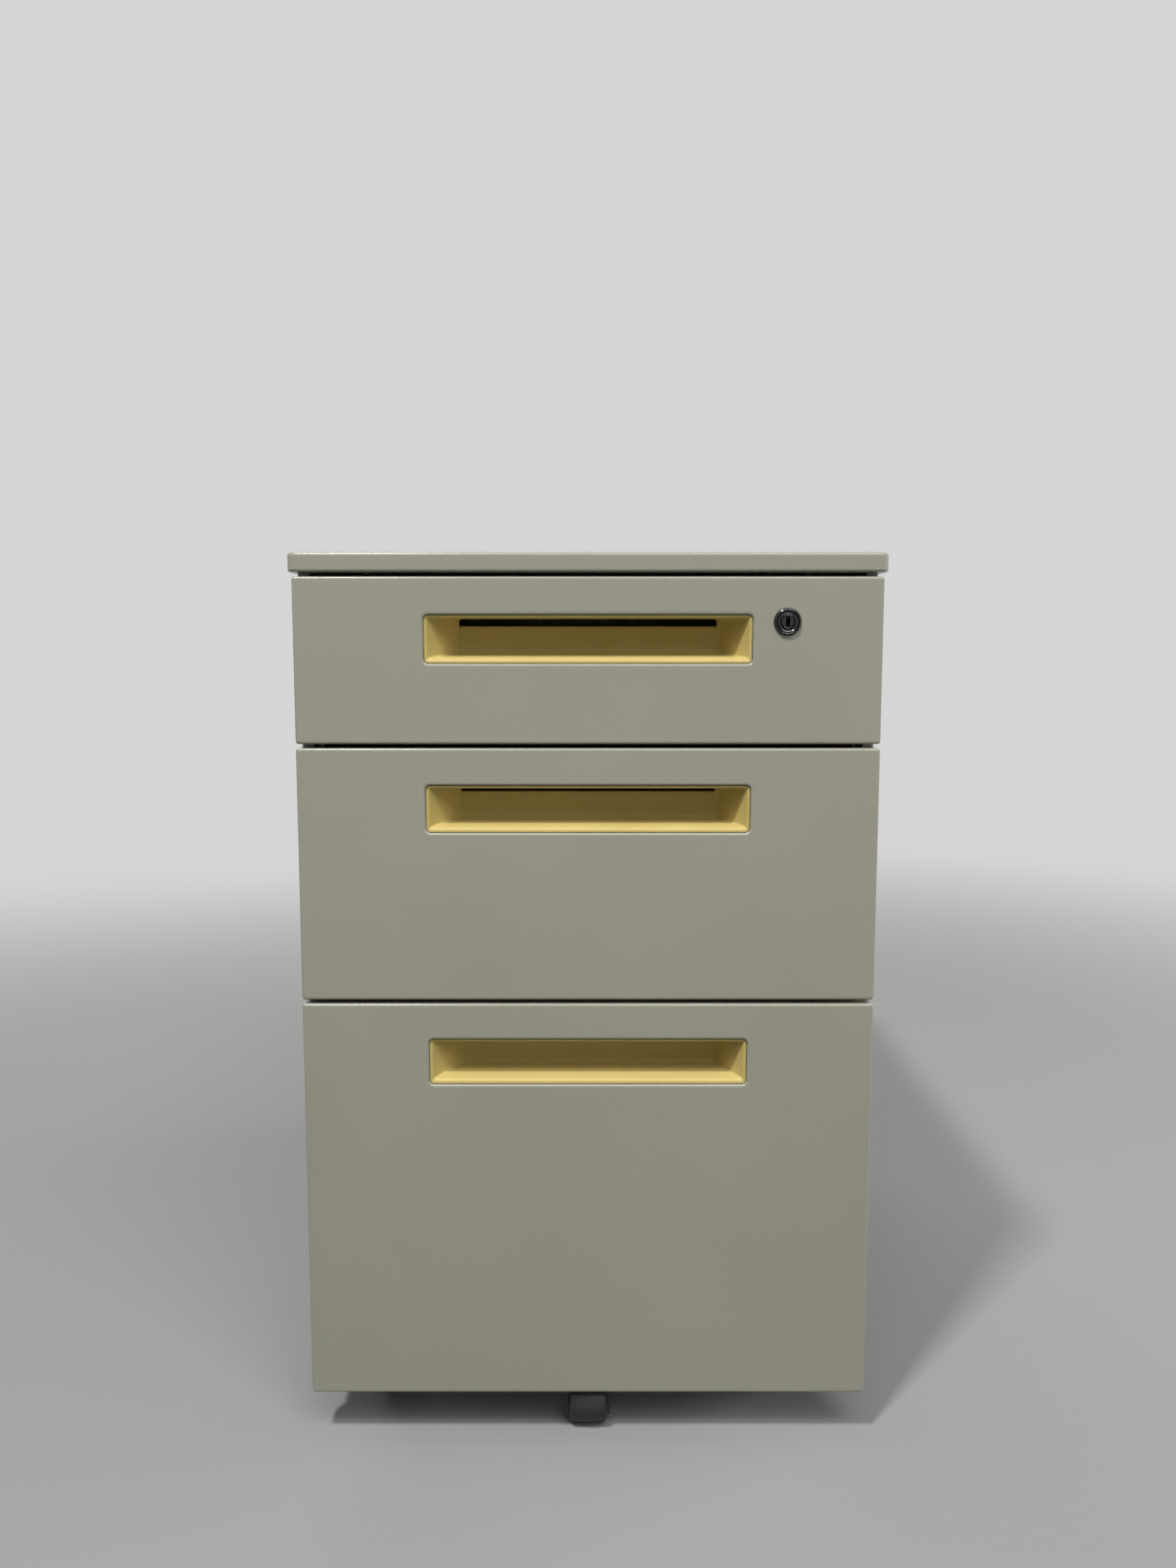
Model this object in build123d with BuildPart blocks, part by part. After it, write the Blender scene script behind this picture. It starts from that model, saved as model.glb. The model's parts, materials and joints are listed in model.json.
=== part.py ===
"""Mobile pedestal: a steel cabinet on casters with three drawers, recessed pull cups and a cam lock.

Millimetres. +X is to the right seen from the front, -Y is the front, +Z is up.
The origin is on the floor under the middle of the cabinet's bounding box.
"""

import os
from math import cos, radians, sin

from build123d import *

os.makedirs("parts", exist_ok=True)

# Overall size
overall_height = 620.0
overall_depth = 580.0
front_width = 390.0

# Top panel
top_thickness = 12.8
top_overhang = 3.0
top_nose = 1.0
top_corner_radius = 6.0
top_edge_radius = 2.2
top_lip = 12.0

# Drawer fronts: the bottom one takes the height that the two above it leave
top_gap = 3.0
front_gap = 2.8
top_front_height = 110.3
middle_front_height = 172.0
floor_clearance = 34.0
front_thickness = 15.0
front_bend = 1.6
liner_flange = 8.0

# Sheet thicknesses and fits
sheet = 1.2
front_sheet = 1.0
box_sheet = 1.0
bend_radius = 2.0
seat_clearance = 0.1
pin_clearance = 0.05
running_clearance = 0.3

# Carcass
carcass_setback = 2.0
carcass_underside = 55.0
side_front_return = 8.3
side_rear_return = 16.0
back_inset = 3.0
base_flange = 8.0
rail_height = 15.2
rail_width = 20.0
upright_depth = 8.6
upright_width = 30.0
front_upright_setback = 24.0
rear_upright_inset = 77.0

# Drawer boxes, listed from the top drawer down: how far each starts above its front's lower
# edge and ends below its upper edge
box_rises = (6.1, 7.9, 30.0)
box_drops = (41.2, 21.1, 26.3)
box_back_gap = 37.4
box_rim = 6.0

# Runners
runner_thickness = 12.7
runner_height = 35.0
runner_back_gap = 51.4
runner_setback = 4.0
runner_rise = 3.0
runner_gap = 0.5
runner_step = 3.0

# Pull cups
cup_drop = 25.0
cup_width = 217.6
cup_height = 32.0
cup_depth = 27.0
cup_back_width = 175.0
cup_ramp_rise = 9.4
cup_corner_radius = 3.2
cup_wall = 1.6
cup_rim_gap = 0.5
cup_rim_inset = 1.4
cup_slot_drop = 5.6
cup_inner_radius = 3.0
cup_flange = 5.0
cup_flange_thickness = 2.0
roll_radius = 1.7
roll_depth = 6.9

# Lock
lock_gap = 22.7
lock_drop = 29.5
lock_proud = 2.2
lock_bezel_diameter = 18.3
lock_bezel_bevel = 1.5
lock_barrel_diameter = 16.0
lock_barrel_length = 22.0
lock_plug_diameter = 7.8
lock_plug_recess = 0.4
keyway_width = 2.6
keyway_height = 6.2
keyway_depth = 9.0
cam_thickness = 2.5
cam_standoff = 3.0
cam_throw = 8.0
cam_pin_diameter = 4.0
cam_pin_length = 8.0
cam_rest_angle = -45.0

# Lock bar
bar_thickness = 3.0
bar_width = 14.0
bar_setback = 3.2
bar_side_gap = 3.6
bar_foot = 8.0
fork_clearance = 0.7
fork_lip = 2.2
fork_plate = 2.0
tab_reach = 8.7
tab_height = 9.0
tab_width = 6.0
tab_rise = 1.0
catch_rise = 11.0
catch_height = 8.0
catch_side_gap = 0.8
catch_play = 1.0
catch_length = 20.0
guide_height = 12.0
guide_wall = 0.8

# Screws and bumpers
screw_diameter = 4.0
screw_head_diameter = 7.5
screw_head_height = 1.2
screw_length = 8.0
inner_screw_length = 4.0
top_screw_length = 12.0
top_screw_inset = 45.0
box_screw_inset = 32.5
box_screw_rise = 14.0
inner_screw_inset = 70.0
bumper_diameter = 6.0
bumper_drop = 15.0

# Corner casters
caster_inset = 44.0
caster_wheel_diameter = 40.0
caster_wheel_width = 18.0
caster_tread_radius = 3.0
caster_trail = 18.0
caster_side_gap = 1.0
caster_crown_gap = 3.0
caster_fork_sheet = 2.0
caster_plate_thickness = 3.0
caster_plate_diameter = 32.0
caster_stem_diameter = 8.0
caster_head_diameter = 13.0
caster_head_height = 1.9
caster_race_diameter = 26.0
caster_axle_diameter = 5.0
caster_axle_head = 8.0
mount_plate_side = 60.0
mount_plate_thickness = 4.0
stem_tip = 1.3

# Anti-tip roller under the bottom drawer's front
roller_diameter = 30.0
roller_width = 27.0
roller_tread_radius = 2.5
roller_setback = 20.0
roller_floor_gap = 1.0
roller_side_gap = 0.5
roller_fork_sheet = 2.0
roller_tab_height = 19.0
roller_cheek_margin = 7.0

# Places worked out from the sizes above
face_y = -overall_depth / 2 + lock_proud
front_back_y = face_y + front_thickness
carcass_front_y = front_back_y + carcass_setback
carcass_back_y = overall_depth / 2 - back_inset
half_width = front_width / 2
inner_half = half_width - sheet
runner_back_x = inner_half - upright_depth
box_half = runner_back_x - runner_thickness
top_underside = overall_height - top_thickness
top_front_top = top_underside - top_gap
middle_front_top = top_front_top - top_front_height - front_gap
bottom_front_top = middle_front_top - middle_front_height - front_gap
front_tops = [top_front_top, middle_front_top, bottom_front_top]
front_bottoms = [
    top_front_top - top_front_height, middle_front_top - middle_front_height, floor_clearance
]
box_bottoms = [bottom + rise for bottom, rise in zip(front_bottoms, box_rises)]
box_tops = [top - drop for top, drop in zip(front_tops, box_drops)]
runner_bottoms = [bottom + runner_rise for bottom in box_bottoms]
runner_tops = [bottom + runner_height for bottom in runner_bottoms]
runner_front_y = carcass_front_y + runner_setback
runner_back_y = carcass_back_y - 2 * sheet - runner_back_gap
runner_length = runner_back_y - runner_front_y
box_back_y = carcass_back_y - 2 * sheet - box_back_gap
cup_tops = [top - cup_drop for top in front_tops]
lock_x = cup_width / 2 + lock_gap
lock_z = front_tops[0] - lock_drop
guide_levels = [(low + high) / 2 for low, high in zip(runner_tops[1:], runner_tops)]
rear_panel_y = carcass_back_y - sheet
upright_front_ys = (
    carcass_front_y + front_upright_setback,
    carcass_back_y - rear_upright_inset - upright_width,
)
upright_middle_ys = [y + upright_width / 2 for y in upright_front_ys]
rail_front_ys = (carcass_front_y + bend_radius, rear_panel_y - sheet - rail_width)


def facing(y):
    """A plane square to Y at this depth: its own x and y run along X and Z, its normal to the front."""
    return Plane.XZ.offset(-y)


def save(builder, name):
    """Name the piece and write it out."""
    builder.part.label = name
    export_step(builder.part, f"parts/{name}.step")


def block(x0, x1, y0, y1, z0, z1, mode=Mode.ADD):
    """A block between two corners, in the part that is being built."""
    with Locations(((x0 + x1) / 2, (y0 + y1) / 2, (z0 + z1) / 2)):
        Box(x1 - x0, y1 - y0, z1 - z0, mode=mode)


def rod(direction, centre, radius, length, mode=Mode.ADD):
    """A cylinder that starts at the centre and runs along the direction."""
    with BuildSketch(Plane(origin=centre, z_dir=direction)) as section:
        Circle(radius)
    extrude(section.sketch, amount=length, mode=mode)


def folded_sheet(points, thickness, bend):
    """The outline of a sheet folded along the points, with its thickness on the left of the path."""
    with BuildLine() as outline:
        FilletPolyline(*points, radius=bend)
        offset(amount=thickness, side=Side.LEFT)
    make_face(outline.edges())


# Top, sides, back, base and rails


def make_top_panel():
    width = front_width + 2 * top_overhang
    front_y = face_y - top_nose
    back_y = overall_depth / 2

    def slab(inset, z0, z1, mode=Mode.ADD):
        """The top's outline, moved in by the inset, between two heights."""
        with BuildSketch(Plane.XY.offset(z0)) as outline:
            with Locations((0, (front_y + back_y) / 2)):
                RectangleRounded(width - 2 * inset, back_y - front_y - 2 * inset,
                                 top_corner_radius - inset)
        extrude(outline.sketch, amount=z1 - z0, mode=mode)

    with BuildPart() as top_panel:
        slab(0, top_underside, overall_height)
        fillet(top_panel.faces().sort_by(Axis.Z)[-1].edges(), top_edge_radius)
        fillet(top_panel.faces().sort_by(Axis.Z)[0].edges(), top_edge_radius - sheet / 2)
        slab(sheet, top_underside + sheet, overall_height - sheet, Mode.SUBTRACT)
        mouth = width / 2 - top_lip
        block(-mouth, mouth, front_y + top_lip, back_y - top_lip,
              top_underside - sheet, top_underside + 2 * sheet, Mode.SUBTRACT)
    save(top_panel, "top_panel")

    with BuildPart() as top_core:
        slab(sheet + seat_clearance, top_underside + sheet, overall_height - sheet)
        for x, y in top_screw_places():
            rod((0, 0, 1), (x, y, top_underside), screw_diameter / 2 + pin_clearance,
                top_screw_length, Mode.SUBTRACT)
    save(top_core, "top_core")


def make_side_panels():
    path = [
        (half_width - side_front_return, carcass_front_y),
        (half_width, carcass_front_y),
        (half_width, carcass_back_y),
        (half_width - side_rear_return, carcass_back_y),
    ]
    with BuildPart() as right_side_panel:
        with BuildSketch(Plane.XY.offset(carcass_underside)):
            folded_sheet(path, sheet, bend_radius)
        extrude(amount=top_underside - carcass_underside)
    save(right_side_panel, "right_side_panel")

    with BuildPart() as left_side_panel:
        mirror(right_side_panel.part, about=Plane.YZ)
    save(left_side_panel, "left_side_panel")


def make_back_panel():
    reach = inner_half - bend_radius
    with BuildPart() as back_panel:
        block(-reach, reach, rear_panel_y - sheet, rear_panel_y,
              carcass_underside + base_flange, top_underside)
    save(back_panel, "back_panel")


def caster_places():
    """The swivel axes of the four corner casters."""
    x = half_width - caster_inset
    front_y = carcass_front_y + caster_inset
    rear_y = carcass_back_y - caster_inset
    return {
        "front_left": (-x, front_y),
        "front_right": (x, front_y),
        "rear_left": (-x, rear_y),
        "rear_right": (x, rear_y),
    }


def make_base():
    front_y = carcass_front_y + sheet
    back_y = rear_panel_y
    hole = caster_stem_diameter / 2 + seat_clearance
    plate_bottom = carcass_underside + sheet
    with BuildPart() as base_pan:
        block(-inner_half, inner_half, front_y, back_y,
              carcass_underside, carcass_underside + base_flange)
        fillet(base_pan.edges().filter_by(Axis.Z), bend_radius)
        fillet(base_pan.faces().sort_by(Axis.Z)[0].edges(), bend_radius - pin_clearance)
        block(-inner_half + sheet, inner_half - sheet, front_y + sheet, back_y - sheet,
              carcass_underside + sheet, carcass_underside + base_flange, Mode.SUBTRACT)
        for x, y in caster_places().values():
            rod((0, 0, 1), (x, y, carcass_underside), hole, sheet, Mode.SUBTRACT)
    save(base_pan, "base_pan")

    with BuildPart() as caster_mount_plates:
        with BuildSketch(Plane.XY.offset(plate_bottom)):
            with Locations(*caster_places().values()):
                RectangleRounded(mount_plate_side, mount_plate_side, bend_radius)
                Circle(hole, mode=Mode.SUBTRACT)
        extrude(amount=mount_plate_thickness)
    save(caster_mount_plates, "caster_mount_plates")


def top_screw_places():
    """The screws that hold the top down through the two rails."""
    reach = half_width - top_screw_inset
    return [(x, y + rail_width / 2) for y in rail_front_ys for x in (-reach, reach)]


def make_top_rails():
    with BuildPart() as top_rails:
        for y in rail_front_ys:
            path = [
                (y, top_underside - rail_height),
                (y, top_underside),
                (y + rail_width, top_underside),
                (y + rail_width, top_underside - rail_height),
            ]
            with BuildSketch(Plane.YZ.offset(-inner_half)):
                folded_sheet(path[::-1], sheet, bend_radius)
            extrude(amount=2 * inner_half)
        for x, y in top_screw_places():
            rod((0, 0, 1), (x, y, top_underside - sheet), screw_diameter / 2 + pin_clearance,
                sheet, Mode.SUBTRACT)
    save(top_rails, "top_rails")

    with BuildPart() as top_screws:
        for x, y in top_screw_places():
            head_z = top_underside - sheet
            rod((0, 0, 1), (x, y, head_z), screw_diameter / 2, top_screw_length)
            rod((0, 0, -1), (x, y, head_z), screw_head_diameter / 2, screw_head_height)
    save(top_screws, "top_screws")


def make_uprights():
    bottom_z = carcass_underside + base_flange
    with BuildPart() as runner_uprights:
        for y in upright_front_ys:
            path = [
                (inner_half, y + upright_width),
                (runner_back_x, y + upright_width),
                (runner_back_x, y),
                (inner_half, y),
            ]
            with BuildSketch(Plane.XY.offset(bottom_z)):
                folded_sheet(path, sheet, bend_radius)
            extrude(amount=top_underside - bottom_z)
        for z in runner_bottoms:
            for y in upright_middle_ys:
                rod((1, 0, 0), (runner_back_x, y, z + runner_height / 2),
                    screw_diameter / 2 + pin_clearance, sheet, Mode.SUBTRACT)
        mirror(about=Plane.YZ)
    save(runner_uprights, "runner_uprights")


def make_bumpers():
    x = half_width - side_front_return / 2
    with BuildPart() as front_bumpers:
        for top in front_tops:
            rod((0, -1, 0), (x, carcass_front_y, top - bumper_drop), bumper_diameter / 2,
                carcass_setback - running_clearance)
        mirror(about=Plane.YZ)
    save(front_bumpers, "front_bumpers")


# Runners


def channel(back_x, tip_x, bottom_z, height, length, y0):
    """A runner channel along Y: its web stands at back_x and its flanges end at tip_x."""
    into = 1 if tip_x > back_x else -1
    block(min(back_x, back_x + into * sheet), max(back_x, back_x + into * sheet),
          y0, y0 + length, bottom_z, bottom_z + height)
    low, high = min(back_x, tip_x), max(back_x, tip_x)
    block(low, high, y0, y0 + length, bottom_z, bottom_z + sheet)
    block(low, high, y0, y0 + length, bottom_z + height - sheet, bottom_z + height)


def make_runners(k):
    number = k + 1
    bottom = runner_bottoms[k]
    axis_z = bottom + runner_height / 2
    nest = sheet + runner_gap
    hole = screw_diameter / 2 + pin_clearance
    middle_back = runner_back_x - runner_step
    inner_tip = middle_back - sheet - runner_gap

    with BuildPart() as outer_runners:
        channel(runner_back_x, box_half + runner_step + sheet, bottom, runner_height,
                runner_length, runner_front_y)
        for y in upright_middle_ys:
            rod((-1, 0, 0), (runner_back_x, y, axis_z), hole, sheet, Mode.SUBTRACT)
        mirror(about=Plane.YZ)
    save(outer_runners, f"drawer_{number}_outer_runners")

    with BuildPart() as middle_runners:
        channel(middle_back, box_half + runner_step, bottom + nest, runner_height - 2 * nest,
                runner_length, runner_front_y)
        mirror(about=Plane.YZ)
    save(middle_runners, f"drawer_{number}_middle_runners")

    with BuildPart() as inner_runners:
        channel(box_half, inner_tip, bottom + 2 * nest, runner_height - 4 * nest,
                runner_length, runner_front_y)
        for y in inner_screw_ys():
            rod((1, 0, 0), (box_half, y, axis_z), hole, sheet, Mode.SUBTRACT)
        mirror(about=Plane.YZ)
    save(inner_runners, f"drawer_{number}_inner_runners")


def inner_screw_ys():
    """How far back the screws between an inner runner and its drawer box stand."""
    return [runner_front_y + inner_screw_inset, runner_back_y - inner_screw_inset]


def make_outer_runner_screws():
    with BuildPart() as outer_runner_screws:
        for bottom in runner_bottoms:
            for y in upright_middle_ys:
                centre = (runner_back_x - sheet, y, bottom + runner_height / 2)
                rod((1, 0, 0), centre, screw_diameter / 2, screw_length)
                rod((-1, 0, 0), centre, screw_head_diameter / 2, screw_head_height)
        mirror(about=Plane.YZ)
    save(outer_runner_screws, "outer_runner_screws")


# Drawers


def make_front(k):
    number = k + 1
    height = front_tops[k] - front_bottoms[k]
    middle_z = front_bottoms[k] + height / 2
    cup_z = cup_tops[k] - cup_height / 2
    with BuildPart() as front:
        with BuildSketch(facing(face_y)):
            with Locations((0, middle_z)):
                RectangleRounded(front_width, height, front_bend)
        extrude(amount=-front_thickness)
        fillet(front.faces().sort_by(Axis.Y)[0].edges(), front_bend)
        reach = half_width - front_sheet
        block(-reach, reach, face_y + front_sheet, front_back_y,
              front_bottoms[k] + front_sheet, front_tops[k] - front_sheet, Mode.SUBTRACT)
        with BuildSketch(facing(face_y + front_sheet)):
            with Locations((0, cup_z)):
                RectangleRounded(cup_width + 2 * front_sheet, cup_height + 2 * front_sheet,
                                 cup_corner_radius + front_sheet)
        extrude(amount=front_sheet - roll_depth)
        with BuildSketch(facing(face_y)):
            with Locations((0, cup_z)):
                RectangleRounded(cup_width, cup_height, cup_corner_radius)
        extrude(amount=-roll_depth, mode=Mode.SUBTRACT)
        mouth = front.faces().sort_by(Axis.Y)[0].inner_wires()[0].edges()
        fillet(mouth, roll_radius)
        if k == 0:
            rod((0, 1, 0), (lock_x, face_y, lock_z), lock_barrel_diameter / 2 + seat_clearance,
                front_sheet, Mode.SUBTRACT)
    save(front, f"drawer_{number}_front")


def cup_half_width_at(depth):
    """Half the width outside the cup, this deep behind the face."""
    mouth_half = cup_width / 2 - cup_rim_gap
    back_half = cup_back_width / 2 + cup_wall
    share = (depth - cup_rim_inset) / (cup_depth + cup_wall - cup_rim_inset)
    return mouth_half + (back_half - mouth_half) * share


def make_liner(k):
    number = k + 1
    reach = half_width - front_sheet - seat_clearance
    low = front_bottoms[k] + front_sheet + seat_clearance
    high = front_tops[k] - front_sheet - seat_clearance
    web_y = front_back_y - front_sheet
    with BuildPart() as liner:
        block(-reach, reach, front_back_y - liner_flange, front_back_y, low, high)
        block(-reach + front_sheet, reach - front_sheet, front_back_y - liner_flange, web_y,
              low + front_sheet, high - front_sheet, Mode.SUBTRACT)
        cup_way(k, web_y, front_back_y)
        if k == 0:
            rod((0, 1, 0), (lock_x, web_y, lock_z), lock_barrel_diameter / 2 + seat_clearance,
                front_sheet, Mode.SUBTRACT)
        for x, z in box_screw_places(k):
            rod((0, 1, 0), (x, web_y, z), screw_diameter / 2 + pin_clearance,
                front_sheet, Mode.SUBTRACT)
    save(liner, f"drawer_{number}_front_liner")


def cup_way(k, y0, y1):
    """Cut the way of the pull cup through a sheet that lies between two depths."""
    reach = cup_half_width_at(y0 - face_y) + running_clearance
    block(-reach, reach, y0, y1, cup_tops[k] - cup_height - running_clearance,
          cup_tops[k] + running_clearance, Mode.SUBTRACT)


def box_screw_places(k):
    """The screws that hold a drawer box to its front."""
    reach = box_half - box_screw_inset
    low = box_bottoms[k] + box_screw_rise
    high = min(cup_tops[k] - cup_height, box_tops[k]) - box_screw_rise
    return [(x, z) for z in (low, high) for x in (-reach, reach)]


def make_box(k):
    """A folded body, open at both ends, and the two end plates that stand in it."""
    number = k + 1
    low = box_bottoms[k]
    high = box_tops[k]
    floor_top = low + box_sheet
    inner_box = box_half - box_sheet
    front_plate_back = front_back_y + box_sheet
    back_plate_front = box_back_y - box_sheet
    with BuildPart() as box:
        block(-box_half, box_half, front_back_y, box_back_y, low, high)
        fillet(box.faces().sort_by(Axis.Z)[0].edges().filter_by(Axis.Y), bend_radius)
        block(-inner_box, inner_box, front_back_y, box_back_y, floor_top, high, Mode.SUBTRACT)
        for side in (-1, 1):
            edge = side * inner_box
            lip = side * (box_half - box_rim)
            block(min(edge, lip), max(edge, lip), front_plate_back, back_plate_front,
                  high - box_sheet, high)
            for y in inner_screw_ys():
                rod((-side, 0, 0), (side * box_half, y, runner_bottoms[k] + runner_height / 2),
                    screw_diameter / 2 + pin_clearance, box_sheet, Mode.SUBTRACT)
    save(box, f"drawer_{number}_box")

    with BuildPart() as box_ends:
        for y0, y1 in ((front_back_y, front_plate_back), (back_plate_front, box_back_y)):
            block(-inner_box, inner_box, y0, y1, floor_top, high)
        way = cup_half_width_at(front_thickness) + running_clearance
        block(-way, way, front_back_y, front_plate_back,
              cup_tops[k] - cup_height - running_clearance, high, Mode.SUBTRACT)
        for x, z in box_screw_places(k):
            rod((0, 1, 0), (x, front_back_y, z), screw_diameter / 2 + pin_clearance,
                box_sheet, Mode.SUBTRACT)
    save(box_ends, f"drawer_{number}_box_ends")


def make_drawer_screws(k):
    number = k + 1
    axis_z = runner_bottoms[k] + runner_height / 2
    with BuildPart() as drawer_screws:
        for x, z in box_screw_places(k):
            head_y = front_back_y + box_sheet
            rod((0, -1, 0), (x, head_y, z), screw_diameter / 2, screw_length)
            rod((0, 1, 0), (x, head_y, z), screw_head_diameter / 2, screw_head_height)
        for side in (-1, 1):
            for y in inner_screw_ys():
                centre = (side * (box_half + sheet), y, axis_z)
                rod((-side, 0, 0), centre, screw_diameter / 2, inner_screw_length)
                rod((side, 0, 0), centre, screw_head_diameter / 2, screw_head_height)
    save(drawer_screws, f"drawer_{number}_screws")


def cup_plan(front_half, front_y, back_half, back_y):
    """A cup's outline seen from above, straight at the mouth and narrowing to the back."""
    narrowing = (front_half - back_half) / (back_y - front_y)
    past = back_half - narrowing * cup_wall
    with BuildLine() as outline:
        Polyline((front_half, face_y - cup_depth), (front_half, front_y), (past, back_y + cup_wall),
                 (-past, back_y + cup_wall), (-front_half, front_y),
                 (-front_half, face_y - cup_depth), close=True)
    make_face(outline.edges())


def make_cup(k):
    number = k + 1
    top = cup_tops[k] - cup_rim_gap
    bottom = cup_tops[k] - cup_height + cup_rim_gap
    front_y = face_y + cup_rim_inset
    back_y = face_y + cup_depth
    floor_back = cup_tops[k] - cup_height + cup_ramp_rise
    outer_front = cup_width / 2 - cup_rim_gap
    flange_y = face_y + roll_depth
    inner_profile = [
        (front_y - cup_wall, bottom + cup_wall), (front_y, bottom + cup_wall),
        (back_y, floor_back), (back_y, top - cup_wall), (front_y - cup_wall, top - cup_wall),
    ]
    outer_profile = [
        (front_y, bottom), (back_y + cup_wall, floor_back - cup_wall),
        (back_y + cup_wall, top), (front_y, top),
    ]
    with BuildPart() as hollow:
        with BuildSketch(Plane.XY.offset(bottom - cup_wall)):
            cup_plan(outer_front - cup_wall, front_y, cup_back_width / 2, back_y)
        extrude(amount=cup_height + 2 * cup_wall)
        with BuildSketch(Plane.YZ.offset(-outer_front)):
            with BuildLine():
                Polyline(*inner_profile, close=True)
            make_face()
        extrude(amount=2 * outer_front, mode=Mode.INTERSECT)
        back = hollow.faces().sort_by(Axis.Y)[-1]
        fillet(back.edges().sort_by(Axis.Z)[:-1], cup_inner_radius)
    with BuildPart() as cup:
        with BuildSketch(Plane.XY.offset(bottom - cup_wall)):
            cup_plan(outer_front, front_y, cup_back_width / 2 + cup_wall, back_y + cup_wall)
        extrude(amount=cup_height + 2 * cup_wall)
        with BuildSketch(Plane.YZ.offset(-outer_front)):
            with BuildLine():
                Polyline(*outer_profile, close=True)
            make_face()
        extrude(amount=2 * outer_front, mode=Mode.INTERSECT)
        with BuildSketch(facing(front_y)):
            with Locations((0, (top + bottom) / 2)):
                RectangleRounded(2 * outer_front, top - bottom, cup_corner_radius - cup_rim_gap)
        extrude(amount=front_y - back_y - 2 * cup_wall, mode=Mode.INTERSECT)
        reach = cup_width / 2 + cup_flange
        block(-reach, reach, flange_y, flange_y + cup_flange_thickness,
              cup_tops[k] - cup_height - cup_flange, cup_tops[k] + cup_flange)
        add(hollow.part, mode=Mode.SUBTRACT)
        slot = cup_back_width / 2
        block(-slot, slot, back_y - cup_wall, back_y + 2 * cup_wall,
              cup_tops[k] - cup_slot_drop, top - cup_wall, Mode.SUBTRACT)
    save(cup, f"drawer_{number}_handle")


def make_catch(k):
    number = k + 1
    low = runner_tops[k] + catch_rise
    high = low + catch_height
    front_y = bar_front_y() + tab_width + catch_play
    tip_x = half_width - side_front_return - catch_side_gap
    with BuildPart() as catch:
        block(box_half, box_half + sheet, front_y, front_y + catch_length,
              runner_tops[k] + running_clearance, high)
        block(box_half, tip_x, front_y, front_y + sheet, low, high)
    save(catch, f"drawer_{number}_catch")


# Lock and lock bar


def make_lock():
    bezel_y = face_y - lock_proud
    barrel_end = face_y + lock_barrel_length
    cam_front = barrel_end + cam_standoff
    plug_front = bezel_y + lock_plug_recess
    with BuildPart() as lock_housing:
        rod((0, 1, 0), (lock_x, bezel_y, lock_z), lock_bezel_diameter / 2, lock_proud)
        chamfer(lock_housing.faces().sort_by(Axis.Y)[0].edges(), lock_bezel_bevel)
        rod((0, 1, 0), (lock_x, face_y, lock_z), lock_barrel_diameter / 2, lock_barrel_length)
        rod((0, 1, 0), (lock_x, bezel_y, lock_z), lock_plug_diameter / 2 + pin_clearance,
            lock_proud + lock_barrel_length, Mode.SUBTRACT)
    save(lock_housing, "lock_housing")

    with BuildPart() as lock_plug:
        rod((0, 1, 0), (lock_x, plug_front, lock_z), lock_plug_diameter / 2, cam_front - plug_front)
        with BuildSketch(facing(plug_front)):
            with Locations((lock_x, lock_z)):
                Rectangle(keyway_width, keyway_height)
        extrude(amount=-keyway_depth, mode=Mode.SUBTRACT)
    save(lock_plug, "lock_plug")

    pin_x = lock_x + cam_throw * cos(radians(cam_rest_angle))
    pin_z = lock_z + cam_throw * sin(radians(cam_rest_angle))
    with BuildPart() as lock_cam:
        with BuildSketch(facing(cam_front)):
            with Locations((lock_x, lock_z)):
                Circle(lock_plug_diameter / 2)
            with Locations((pin_x, pin_z)):
                Circle(cam_pin_diameter / 2)
            make_hull()
        extrude(amount=-cam_thickness)
        rod((0, 1, 0), (pin_x, cam_front + cam_thickness, pin_z), cam_pin_diameter / 2,
            cam_pin_length)
    save(lock_cam, "lock_cam")


def bar_front_y():
    """The front edge of the lock bar."""
    return carcass_front_y + bar_setback


def make_lock_bar():
    front_y = bar_front_y()
    back_y = front_y + bar_width
    outer_x = inner_half - bar_side_gap
    inner_x = outer_x - bar_thickness
    pin_z = lock_z + cam_throw * sin(radians(cam_rest_angle))
    pin_near = lock_x + cam_throw * cos(radians(cam_rest_angle)) - cam_pin_diameter / 2
    slot_end = lock_x + cam_throw + cam_pin_diameter / 2 + fork_clearance
    slot_half = cam_pin_diameter / 2 + fork_clearance
    fork_y = face_y + lock_barrel_length + cam_standoff + cam_thickness + cam_pin_length / 2
    with BuildPart() as lock_bar:
        block(inner_x, outer_x, front_y, back_y, runner_tops[2] - bar_foot,
              pin_z + slot_half + fork_lip)
        block(pin_near - fork_clearance, outer_x, fork_y, fork_y + fork_plate,
              pin_z - slot_half - fork_lip, pin_z + slot_half + fork_lip)
        block(pin_near - fork_clearance, slot_end, fork_y, fork_y + fork_plate,
              pin_z - slot_half, pin_z + slot_half, Mode.SUBTRACT)
        for top in runner_tops:
            block(outer_x - tab_reach, outer_x, front_y, front_y + tab_width,
                  top + tab_rise, top + tab_rise + tab_height)
    save(lock_bar, "lock_bar")

    with BuildPart() as lock_bar_guides:
        outside = inner_x - running_clearance - guide_wall
        for z in guide_levels:
            block(outside, inner_half, front_y - running_clearance - guide_wall,
                  back_y + running_clearance + guide_wall, z, z + guide_height)
            block(inner_x - running_clearance, inner_half, front_y - running_clearance,
                  back_y + running_clearance, z, z + guide_height, Mode.SUBTRACT)
    save(lock_bar_guides, "lock_bar_guides")


# Casters


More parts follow.
